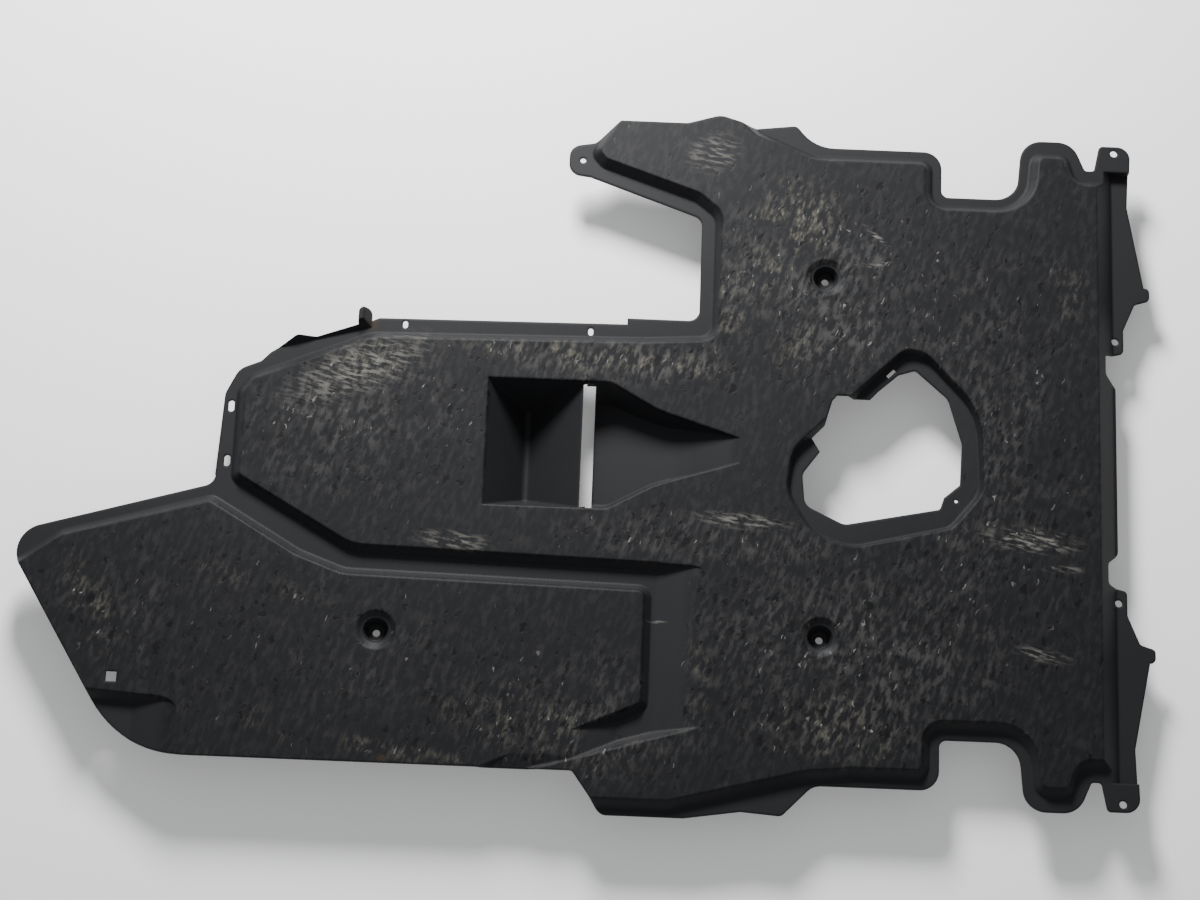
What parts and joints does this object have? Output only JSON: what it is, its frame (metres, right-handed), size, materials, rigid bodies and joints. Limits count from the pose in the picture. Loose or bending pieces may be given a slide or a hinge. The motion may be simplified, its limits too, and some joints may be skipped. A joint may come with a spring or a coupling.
{
  "type": "engine splash shield",
  "caption": "Moulded plastic engine undertray with raised stiffening fields, a submerged air scoop, a service opening with a torn ledge, a rear wing and fixing tabs.",
  "frame": {"origin": "middle of the shield's plan, on the level of its lowest point, the trough of the scoop", "axes": "+X to the front of the car, +Z out of the road face, which lies upward"},
  "size_m": [1.1938, 0.778, 0.0554],
  "materials": {
    "shield": "worn matte charcoal plastic with stone chips and dust"
  },
  "bodies": {
    "root": {"splash_shield": "shield"}
  },
  "joints": []
}
